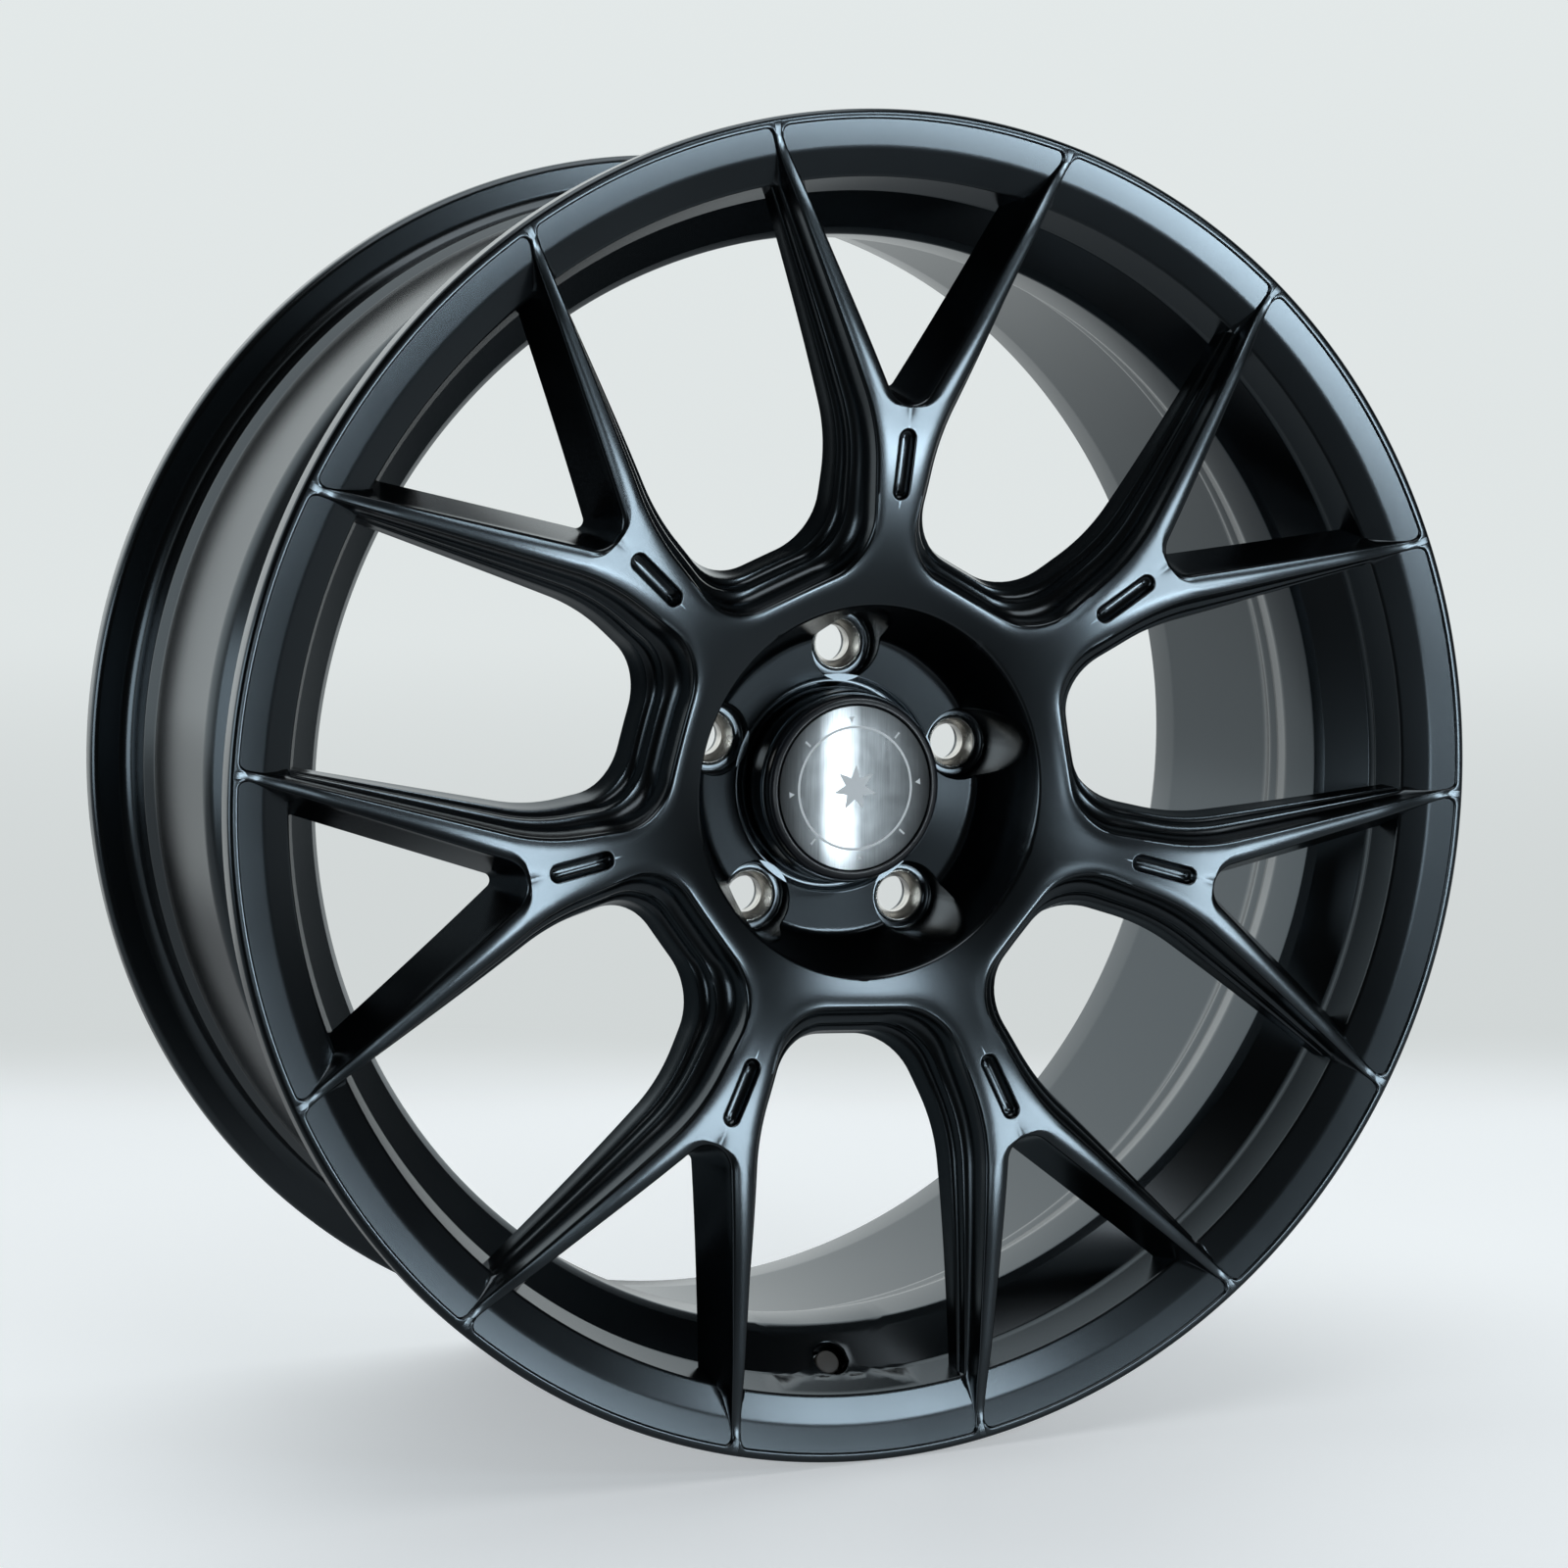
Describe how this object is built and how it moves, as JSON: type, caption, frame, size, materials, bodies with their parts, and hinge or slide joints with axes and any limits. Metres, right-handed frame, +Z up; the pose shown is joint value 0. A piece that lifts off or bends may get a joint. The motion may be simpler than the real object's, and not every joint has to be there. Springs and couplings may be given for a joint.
{
  "type": "forged racing wheel rim",
  "caption": "One-piece forged road-racing wheel rim with forked spokes, recessed hub, snap-in centre cap and clamp-in tyre valve.",
  "frame": {"origin": "middle of the wheel: on its axle, halfway between the front and rear flange faces", "axes": "+Y along the axle towards the back of the wheel, -Y the styled face, +Z up with the wheel standing on its flanges, +X to the right seen from the front"},
  "size_m": [0.5212, 0.24, 0.5212],
  "materials": {
    "forging": "satin black paint with a fine grain",
    "lug_seat": "bare turned metal",
    "cap_shell": "satin black moulded plastic",
    "badge": "brushed",
    "adhesive_pad": "foam tape",
    "spring_steel": "drawn wire",
    "valve_metal": "plated",
    "grommet_rubber": "moulded rubber",
    "core_brass": "turned brass",
    "valve_cap": "satin black",
    "seal_rubber": "moulded rubber"
  },
  "bodies": {
    "wheel": {"wheel_forging": "forging", "lug_seat_1": "lug_seat", "lug_seat_2": "lug_seat", "lug_seat_3": "lug_seat", "lug_seat_4": "lug_seat", "lug_seat_5": "lug_seat", "valve_stem": "valve_metal", "valve_grommet": "grommet_rubber", "valve_washer": "valve_metal", "valve_nut": "valve_metal", "valve_core_body": "core_brass", "valve_core_spring": "spring_steel"},
    "centre_cap": {"centre_cap_shell": "cap_shell", "centre_cap_badge": "badge", "centre_cap_adhesive_pad": "adhesive_pad", "centre_cap_spring_ring": "spring_steel"},
    "valve_cap_lift": {"valve_cap_seal": "seal_rubber"},
    "valve_cap": {"valve_cap": "valve_cap"},
    "valve_pin": {"valve_core_pin": "core_brass"}
  },
  "joints": [
    {"name": "centre_cap_pull", "type": "slide", "parent": "wheel", "child": "centre_cap", "axis": [0, -1, 0], "range_m": [0, 0.025]},
    {"name": "valve_cap_rise", "type": "slide", "parent": "wheel", "child": "valve_cap_lift", "axis": [0.03, -0.8192, 0.5728], "range_m": [0, 0.005]},
    {"name": "valve_cap_turn", "type": "hinge", "parent": "valve_cap_lift", "child": "valve_cap", "pos_m": [-0.01191, -0.088, -0.22729], "axis": [0.03, -0.8192, 0.5728], "range_deg": [0, 2268]},
    {"name": "valve_pin_press", "type": "slide", "parent": "wheel", "child": "valve_pin", "axis": [-0.03, 0.8192, -0.5728], "range_m": [0, 0.0012], "stiffness_N_per_m": 800, "springref_m": -0.0015, "deforming": ["valve_core_spring"]}
  ],
  "couplings": [
    {"joint": "valve_cap_turn", "follows": "valve_cap_rise", "rad_per_m": 7915.8}
  ]
}
